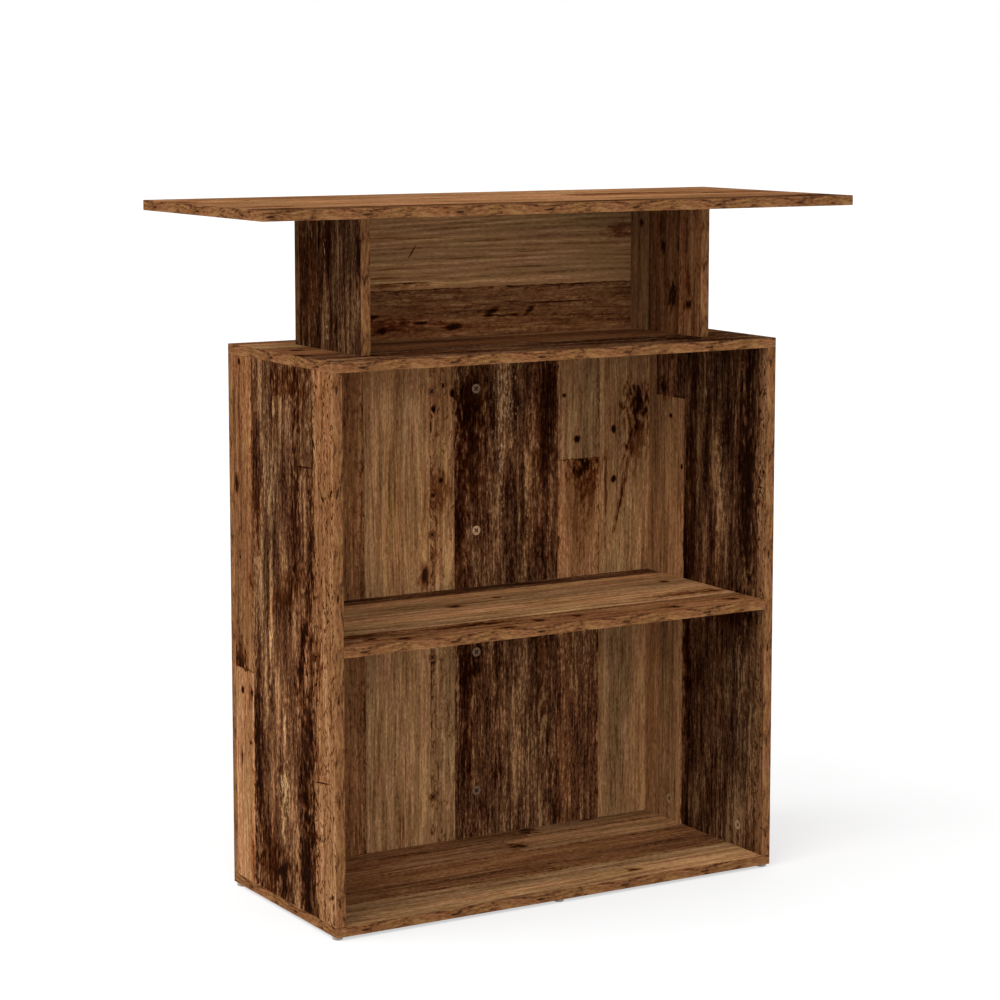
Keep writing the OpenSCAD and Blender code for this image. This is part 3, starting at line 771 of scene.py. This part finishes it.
def lay_marks(w, things, side, place, ragged, result, settings):
    """Chains the marks of one face over the print."""
    for mark in (Mark(*t) for t in things if not isinstance(t, Plank)):
        kind = MARKS[mark.kind]
        drawn = side
        if mark.ends:
            above = w.math("GREATER_THAN", place["Along"], mark.ends[0] * MM)
            below = w.math("LESS_THAN", place["Along"], mark.ends[1] * MM)
            drawn = w.times(side, above, below)
        inputs = {
            **place,
            "Ragged noise": ragged[kind.noise],
            "Side": drawn,
            "Color": result["Color"],
            "Height": result["Height"],
            "Mark color": tuple(getattr(settings, kind.tint)),
            "Border tint": kind.border,
            "At along": mark.along * MM,
            "At across": mark.across * MM,
            "Half length": mark.half_length * MM,
            "Half width": mark.half_width * MM,
            "Turn": mark.turn,
        }
        for key in ("softness", "raggedness", "sparseness", "strength", "depth"):
            inputs[key.capitalize()] = getattr(kind, key)
        result = w.group(plank_mark(), inputs)
    return result


def foil_material(node):
    """Foil of one board, with its own planks on either face and bare chipboard inside its holes."""
    settings = bpy.context.scene.desk_foil
    board = BOARDS[node]
    material, w, shader, point = new_material(node + "_foil")
    axes = dict(zip("XYZ", w.axes(point)))
    thick = next(axis for axis in "XYZ" if axis not in (board.along, board.across))
    low, high = (corner["XYZ".index(thick)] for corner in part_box(node))
    middle = (low + high) / 2
    high_side = w.math("GREATER_THAN", axes[thick], middle)
    faces = {
        "low": (board.low, w.less(1.0, high_side)),
        "high": (board.high, high_side),
    }
    along, across = axes[board.along], axes[board.across]

    nudge = w.noise(w.point(w.times(along, 60), w.times(across, 60), 0.5), 2)
    place = {"Along": along, "Across": w.total(across, w.swing(nudge, SEAM_SWING))}
    look = {**dict.fromkeys((*COLOURS, "Character"), (0.0, 0.0, 0.0)), "Seed": 0.0, "Inside": FAR}
    for name, (things, side) in faces.items():
        look = lay_planks(w, things, side, place, look, settings, f"{node} {name}")
    place = {"Along": along, "Across": across}
    result = w.group(plank_print(), {**place, **look})
    grit = result["Grit"]
    ragged = {}
    for key, (per_m_across, per_m_along, octaves, roughness) in RAGGED.items():
        spot = w.point(w.times(across, per_m_across), w.times(along, per_m_along), 3.3)
        ragged[key] = w.noise(spot, octaves, roughness)
    for things, side in faces.values():
        result = lay_marks(w, things, side, place, ragged, result, settings)

    from_middle = w.math("ABSOLUTE", w.less(axes[thick], middle))
    core = w.math("GREATER_THAN", w.less((high - low) / 2, from_middle), FOIL_DEPTH)
    chip = w.blend(grit, tuple(settings.chipboard), tuple(c * 0.45 for c in settings.chipboard))
    paint_colour = w.blend(core, result["Color"], chip)
    roughness = w.total(settings.roughness, w.times(grit, 0.2), -0.1)
    set_surface(w, shader, paint_colour, roughness, result["Height"], settings.relief, specular=0)
    return material


def strip_material(node, along, dash, light):
    """Print of the strips of one node, whose dashes are counted from one of them."""
    settings = bpy.context.scene.desk_strips
    material, w, shader, point = new_material(node + "_print")
    axes = dict(zip("XYZ", w.axes(point)))
    low, high = solids(node)[0]
    size = dict(zip("XYZ", high - low))
    across = max((axis for axis in "XYZ" if axis != along), key=size.get)
    middle = ((low + high) / 2)["XYZ".index(across)]
    inputs = {
        "Along": axes[along],
        "Across": w.less(axes[across], middle),
        "Seed": settings.seed,
        "Repeat": settings.repeat,
        "Dash along": dash * MM,
        "Dash across": -settings.dash_offset,
        **{part.capitalize(): shade for part, shade in shades(settings, "", light)},
    }
    result = w.group(strip_print(), inputs)
    roughness = w.total(settings.roughness, w.times(result["Height"], 0.1))
    set_surface(w, shader, result["Color"], roughness, result["Height"], STRIP_RELIEF, specular=0)
    return material


def set_fitting_surface(w, shader, paint_colour, value, roughness, **gloss):
    """Gives a fitting its colour, an uneven gloss and a slight relief."""
    uneven = w.total(roughness, w.swing(value, 0.3))
    set_surface(w, shader, paint_colour, uneven, value, FITTING_RELIEF, **gloss)


def speckled_material(name, base, metallic, roughness, per_metre, change):
    """Material of a fitting, uneven by so many specks per metre and by so much of its colour."""
    material, w, shader, point = new_material(name)
    inputs = {"Point": point, "Per metre": per_metre, "Base": tuple(base), "Change": change}
    tone, value = w.group(surface_speckle(), inputs)[:2]
    set_fitting_surface(w, shader, tone, value, roughness, metallic=metallic)
    return material


def cam_material(node, cam_face, level, settings):
    """Zinc of a node's cam locks, bright between two heights and of their face's darker zinc elsewhere,
    with painted shade in their recesses.
    """
    material, w, shader, point = new_material(node + "_zinc")
    axes = w.axes(point)
    low, high = (height * MM for height in cam_face.bright)
    # Outside the bright heights the face's darker zinc: painted shade on the right side and the right
    # back board, a darker brown on the left back board
    bright = w.times(w.math("GREATER_THAN", axes[2], low), w.math("LESS_THAN", axes[2], high))
    zinc = w.blend(bright, tuple(getattr(settings, cam_face.finish)), tuple(settings.bright))
    inputs = {"Point": point, "Per metre": 600, "Base": zinc, "Change": 0.5}
    tone, value = w.group(surface_speckle(), inputs)[:2]
    # Deeper than the face the zinc goes dark: painted shade in the recesses
    below = w.times(w.less(level, axes[cam_face.axis]), cam_face.sign)
    recess_shade = w.add("HueSaturation", {"Color": zinc, "Value": 0.12}).outputs[0]
    paint_colour = w.blend(w.step(below, RECESS_SHADE_FROM, RECESS_SHADE_FULL), tone, recess_shade)
    set_fitting_surface(w, shader, paint_colour, value, 0.4, specular=0.1, metallic=0.3)
    return material


def paint(material, *nodes):
    """Gives CAD nodes that are shown as they are their material."""
    for node in nodes:
        NODES[node].data.materials.clear()
        NODES[node].data.materials.append(material)


def cover_with_foil(*nodes):
    for node in nodes:
        paint(foil_material(node), node)


# Pieces


def add_object(name, data):
    thing = bpy.data.objects.new(name, data)
    bpy.context.scene.collection.objects.link(thing)
    return thing


def finished_mesh(name, shape):
    mesh = bpy.data.meshes.new(name)
    shape.to_mesh(mesh)
    shape.free()
    return mesh


def merged_copy(node):
    """The mesh of a CAD node as a bmesh, with its loose triangles joined."""
    shape = bmesh.new()
    shape.from_mesh(NODES[node].data)
    bmesh.ops.remove_doubles(shape, verts=shape.verts, dist=SAME_POINT)
    return shape


def solids(node):
    """The lowest and highest corner of each solid of a CAD node, in the order of its mesh."""
    shape = merged_copy(node)
    seen = set()
    boxes = []
    for start in shape.verts:
        reached = [start] if start not in seen else []
        seen.add(start)
        for vert in reached:
            others = {edge.other_vert(vert) for edge in vert.link_edges} - seen
            seen |= others
            reached.extend(others)
        if reached:
            low, high = (Vector(pick(v.co[i] for v in reached) for i in range(3)) for pick in (min, max))
            boxes.append((low, high))
    shape.free()
    return boxes


def new_piece(name, shape, material, slot, *nodes):
    """Makes an object of a finished mesh, which stands for CAD nodes and rides on the desk."""
    bmesh.ops.recalc_face_normals(shape, faces=shape.faces)
    piece = add_object(name, finished_mesh(name, shape))
    piece.data.materials.append(material)
    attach(piece, "root")
    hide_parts(*nodes)
    return piece


def round_edges(shape, edges, radius, segments):
    bmesh.ops.bevel(
        shape, geom=edges, offset=radius, offset_type="OFFSET", affect="EDGES",
        segments=segments, profile=0.5, material=-1,
    )


def strip_shape(shape, low, high, rounding):
    """Adds one strip: a thin bar whose outer edges are rounded."""
    size = high - low
    place = Matrix.LocRotScale((low + high) / 2, None, size)
    made = bmesh.ops.create_cube(shape, size=1.0, matrix=place)
    thin = min(range(2), key=lambda axis: size[axis])
    face = max(low[thin], high[thin], key=abs)
    outer = {v for v in made["verts"] if abs(v.co[thin] - face) < SAME_POINT}
    round_edges(shape, [e for e in shape.edges if outer.issuperset(e.verts)], rounding, 3)


# Each node's direction, the place of one of its dashes in mm, and how light it is
STRIPS = {
    "worktop_long_bands": ("X", -45),
    "worktop_end_bands": ("Y", 10),
    "left_upright_edge_band": ("Z", 935),
    "right_upright_edge_band": ("Z", 935),
    # Half as light as the other strips: painted shade under the worktop
    "counter_back_edge_bands": ("Z", 960, 0.5),
    "cabinet_top_long_bands": ("X", -38),
    "cabinet_top_end_bands": ("Y", 25),
    "cabinet_bottom_long_bands": ("X", -38),
    "cabinet_bottom_end_bands": ("Y", -40),
    "left_side_edge_band": ("Z", 54),
    "right_side_edge_band": ("Z", 54),
    "shelf_edge_band": ("X", -38),
    "left_back_edge_band": ("Z", 90),
    "right_back_edge_band": ("Z", 90),
}


def make_strips(node, along, dash, light=1.0):
    settings = bpy.context.scene.desk_strips
    shape = bmesh.new()
    for low, high in solids(node):
        strip_shape(shape, low, high, settings.rounding)
    material = strip_material(node, along, dash, light)
    new_piece(node.replace("band", "strip"), shape, material, "edge_strip", node)


def with_round_rims(node, radius, segments, is_rim):
    """A copy of a CAD node's mesh whose sharp edges in one face are rounded."""
    shape = merged_copy(node)
    bmesh.ops.dissolve_limit(shape, angle_limit=FLAT, verts=shape.verts, edges=shape.edges)
    sharp = [e for e in shape.edges if len(e.link_faces) == 2 and e.calc_face_angle() > SHARP]
    rims = [e for e in sharp if all(is_rim(v.co) for v in e.verts)]
    round_edges(shape, rims, radius, segments)
    return shape


class CamFace(NamedTuple):
    """The face in which a node's cam locks sit, the darker zinc they take outside their bright heights,
    and where in mm they are bright.
    """

    axis: int
    sign: int
    finish: str = "bright"
    bright: tuple = (-FAR, -FAR)


CAM_FACES = {
    "left_side_cam_locks": CamFace(0, 1),
    # Cam locks above 600 mm darkened as painted shade
    "right_side_cam_locks": CamFace(0, -1, "brown", (0, 600)),
    "shelf_cam_locks": CamFace(2, -1),
    "left_back_cam_locks": CamFace(1, -1, "brown"),
    # Cam locks outside 420 to 600 mm darkened as painted shade
    "right_back_cam_locks": CamFace(1, -1, "dull", (420, 600)),
    "upright_cam_locks": CamFace(0, 1),
}


# How much a cross narrows to its bottom, and how far out in a lock its arrow is
CROSS_TAPER = 0.75
ARROW_PLACE = 0.37


def recess_cutters(node, axis, sign, settings):
    """A cross and an arrow for each cam lock of a node, which stand half out of its face."""
    outward = Vector([sign * (i == axis) for i in range(3)])
    turn = outward.to_track_quat("Z", "Y").to_matrix() @ Matrix.Rotation(math.radians(45), 3, "Z")
    arm = Matrix.Diagonal((settings.cross, settings.cross_width, 2 * settings.cross_depth, 1))
    shape = bmesh.new()
    for low, high in solids(node):
        centre = (low + high) / 2
        centre[axis] = high[axis] if sign > 0 else low[axis]
        place = Matrix.LocRotScale(centre, turn.to_quaternion(), None)
        for quarter in (0, 90):
            turned = place @ Matrix.Rotation(math.radians(quarter), 4, "Z")
            made = bmesh.ops.create_cube(shape, size=1.0, matrix=turned @ arm)
            tips = [v for v in made["verts"] if (v.co - centre).dot(outward) < 0]
            space = Matrix.Translation(-centre)
            bmesh.ops.scale(shape, vec=[CROSS_TAPER] * 3, space=space, verts=tips)
        from_middle = Matrix.Translation((ARROW_PLACE * (high - low)[axis - 1], 0, 0))
        turned = place @ from_middle @ Matrix.Rotation(math.pi, 4, "Z")
        bmesh.ops.create_cone(
            shape, cap_ends=True, segments=3, radius1=ARROW, radius2=ARROW, depth=ARROW, matrix=turned
        )
    return finished_mesh("cutters", shape)


def make_cam_locks(node):
    """Cam locks with a rounded rim, a cross for the screwdriver and an arrow."""
    settings = bpy.context.scene.desk_fittings
    cam_face = CAM_FACES[node]
    axis, sign = cam_face.axis, cam_face.sign
    low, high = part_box(node)
    face = high[axis] if sign > 0 else low[axis]
    material = cam_material(node, cam_face, face, settings)
    shape = with_round_rims(node, CAM_RIM, 2, lambda place: abs(place[axis] - face) < SAME_FACE)
    piece = new_piece(node.replace("cam_locks", "cams"), shape, material, "cam_zinc", node)
    cutter = add_object("cutters", recess_cutters(node, axis, sign, settings))
    recess = piece.modifiers.new("Recess", "BOOLEAN")
    recess.operation = "DIFFERENCE"
    recess.solver = "EXACT"
    recess.use_self = True
    recess.object = cutter
    finished = piece.evaluated_get(bpy.context.evaluated_depsgraph_get())
    cut = bpy.data.meshes.new_from_object(finished)
    piece.modifiers.clear()
    piece.data = cut
    bpy.data.objects.remove(cutter)


def make_glides(material):
    """Glides with a rounded lower rim."""
    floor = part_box("foot_glides")[0][2]
    shape = with_round_rims("foot_glides", GLIDE_RIM, 4, lambda place: place.z - floor < SAME_FACE)
    new_piece("glides", shape, material, "glide_plastic", "foot_glides")


# Studio

FLOOR_RADIUS = 60
# How light the floor is to the desk and to the camera, and how much it glows to the camera
FLOOR_TO_DESK, FLOOR_TO_CAMERA, FLOOR_GLOW = 0.8, 0.5, 0.55


def seen_plainly(w):
    """1 where the camera or a mirror image looks, 0 where light from the studio falls."""
    rays = w.add("LightPath").outputs
    return w.most(*(rays[f"Is {kind} Ray"] for kind in ("Camera", "Glossy", "Transmission")))


def make_floor(settings):
    """A wide round floor, which looks white to the camera and keeps the desk's shadow."""
    shape = bmesh.new()
    bmesh.ops.create_circle(shape, cap_ends=True, segments=96, radius=FLOOR_RADIUS)
    floor = add_object("studio_floor", finished_mesh("studio_floor", shape))
    material = bpy.data.materials.new("studio_floor")
    material.use_nodes = True
    w = Wiring(material.node_tree)
    w.nodes.remove(w.nodes["Principled BSDF"])
    dull, lit = (
        w.add("BsdfDiffuse", {"Color": tuple(c * part for c in settings.floor)}).outputs[0]
        for part in (FLOOR_TO_DESK, FLOOR_TO_CAMERA)
    )
    glow = w.add("Emission", {"Color": tuple(settings.floor), "Strength": FLOOR_GLOW}).outputs[0]
    bright = w.add("AddShader", {0: lit, 1: glow}).outputs[0]
    mixed = w.add("MixShader", {0: seen_plainly(w), 1: dull, 2: bright}).outputs[0]
    w.feed(w.nodes["Material Output"].inputs["Surface"], mixed)
    floor.data.materials.append(material)
    floor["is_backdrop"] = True


def make_sky(settings):
    """White surroundings, plain white to the camera and in reflections."""
    world = bpy.data.worlds.new("studio")
    bpy.context.scene.world = world
    world.use_nodes = True
    w = Wiring(world.node_tree)
    background = w.nodes["Background"]
    background.inputs["Color"].default_value = (1, 1, 1, 1)
    w.feed(background.inputs["Strength"], w.between(seen_plainly(w), settings.sky, 1.0))


def make_lights(settings):
    """Two wide lights, one from the upper left and one from the front."""
    lights = (
        ("key_light", settings.key, (-0.75, -0.05, 0.65)),
        ("fill_light", settings.fill, (-0.3, -0.75, 0.5)),
    )
    for name, strength, towards in lights:
        lamp = add_object(name, bpy.data.lights.new(name, "SUN"))
        lamp.data.energy = strength
        lamp.data.angle = settings.spread
        lamp.rotation_mode = "QUATERNION"
        lamp.rotation_quaternion = Vector(towards).to_track_quat("Z", "Y")


def make_camera(settings):
    camera = add_object("camera", bpy.data.cameras.new("camera"))
    camera.data.lens = settings.lens
    camera.data.shift_y = settings.shift
    camera.location = settings.eye
    camera.rotation_euler = (math.pi / 2 - settings.tilt, 0, -settings.turn)
    bpy.context.scene.camera = camera


# Operators


class DeskOperator:
    """What all the desk's operators have in common."""

    bl_options = {"REGISTER", "UNDO"}


class OBJECT_OT_desk_stage(DeskOperator, bpy.types.Operator):
    """Make the floor, the light, the surroundings and the camera"""

    bl_idname = "object.desk_stage"
    bl_label = "Studio"

    def execute(self, context):
        context.scene.view_settings.view_transform = "Standard"
        for make in (make_camera, make_floor, make_sky, make_lights):
            make(context.scene.desk_stage)
        return {"FINISHED"}


class OBJECT_OT_desk_worktop(DeskOperator, bpy.types.Operator):
    """Cover the worktop with plank foil"""

    bl_idname = "object.desk_worktop"
    bl_label = "Worktop"

    def execute(self, context):
        cover_with_foil("worktop")
        return {"FINISHED"}


class OBJECT_OT_desk_counter_box(DeskOperator, bpy.types.Operator):
    """Cover the uprights and the back panel of the counter box with plank foil"""

    bl_idname = "object.desk_counter_box"
    bl_label = "Counter box"

    def execute(self, context):
        cover_with_foil("counter_left_upright", "counter_right_upright", "counter_back_panel")
        return {"FINISHED"}


class OBJECT_OT_desk_cabinet(DeskOperator, bpy.types.Operator):
    """Cover the sides, the top, the bottom and the shelf of the cabinet with plank foil"""

    bl_idname = "object.desk_cabinet"
    bl_label = "Cabinet"

    def execute(self, context):
        cover_with_foil("left_side_panel", "right_side_panel")
        cover_with_foil("cabinet_top", "cabinet_bottom", "middle_shelf")
        return {"FINISHED"}


class OBJECT_OT_desk_back_boards(DeskOperator, bpy.types.Operator):
    """Cover the two back boards with plank foil"""

    bl_idname = "object.desk_back_boards"
    bl_label = "Back boards"

    def execute(self, context):
        cover_with_foil("left_back_board", "right_back_board")
        return {"FINISHED"}


class OBJECT_OT_desk_edge_strips(DeskOperator, bpy.types.Operator):
    """Make the strips on the boards' cut edges, with rounded outer edges"""

    bl_idname = "object.desk_edge_strips"
    bl_label = "Edge strips"

    def execute(self, context):
        for node, how in STRIPS.items():
            make_strips(node, *how)
        return {"FINISHED"}


class OBJECT_OT_desk_fittings(DeskOperator, bpy.types.Operator):
    """Make the cam locks and the glides, and give the bolts, nails and dowels their materials"""

    bl_idname = "object.desk_fittings"
    bl_label = "Fittings"

    def execute(self, context):
        settings = context.scene.desk_fittings
        steel = speckled_material("plated_steel", settings.steel, 1.0, 0.35, 1400, 0.3)
        beech = speckled_material("beech", settings.beech, 0.0, 0.7, 700, 0.5)
        plastic = speckled_material("glide_plastic", settings.plastic, 0.0, 0.5, 1200, 0.3)
        for node in CAM_FACES:
            make_cam_locks(node)
        paint(steel, *(node for node in NODES if node.endswith(("bolts", "nails"))))
        paint(beech, *(node for node in NODES if node.endswith("dowels")))
        make_glides(plastic)
        return {"FINISHED"}


class VIEW3D_PT_desk(bpy.types.Panel):
    """Lists what the desk is dressed with"""

    bl_label = "Reception desk"
    bl_space_type = "VIEW_3D"
    bl_region_type = "UI"
    bl_category = "Desk"

    def draw(self, context):
        layout = self.layout
        for operator in OPERATORS:
            layout.operator(operator.bl_idname)
        for name in SETTINGS:
            group = getattr(context.scene, name)
            box = layout.box()
            for key in group.bl_rna.properties.keys():
                if key not in ("rna_type", "name"):
                    box.prop(group, key)


SETTINGS = {
    "desk_foil": DeskFoil,
    "desk_strips": DeskStrips,
    "desk_fittings": DeskFittings,
    "desk_stage": DeskStage,
}
OPERATORS = (
    OBJECT_OT_desk_stage,
    OBJECT_OT_desk_worktop,
    OBJECT_OT_desk_counter_box,
    OBJECT_OT_desk_cabinet,
    OBJECT_OT_desk_back_boards,
    OBJECT_OT_desk_edge_strips,
    OBJECT_OT_desk_fittings,
)
CLASSES = (*SETTINGS.values(), *OPERATORS, VIEW3D_PT_desk)


def register():
    for cls in CLASSES:
        bpy.utils.register_class(cls)
    for name, cls in SETTINGS.items():
        setattr(bpy.types.Scene, name, PointerProperty(type=cls))


def unregister():
    for name in SETTINGS:
        delattr(bpy.types.Scene, name)
    for cls in reversed(CLASSES):
        bpy.utils.unregister_class(cls)


def main():
    register()
    bpy.ops.object.desk_stage()
    bpy.ops.object.desk_worktop()
    bpy.ops.object.desk_counter_box()
    bpy.ops.object.desk_cabinet()
    bpy.ops.object.desk_back_boards()
    bpy.ops.object.desk_edge_strips()
    bpy.ops.object.desk_fittings()
    boxes = {"cad": CAD_BOX, "visual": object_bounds()}
    {name: [list(corner) for corner in box] for name, box in boxes.items()}


if __name__ == "__main__":
    main()
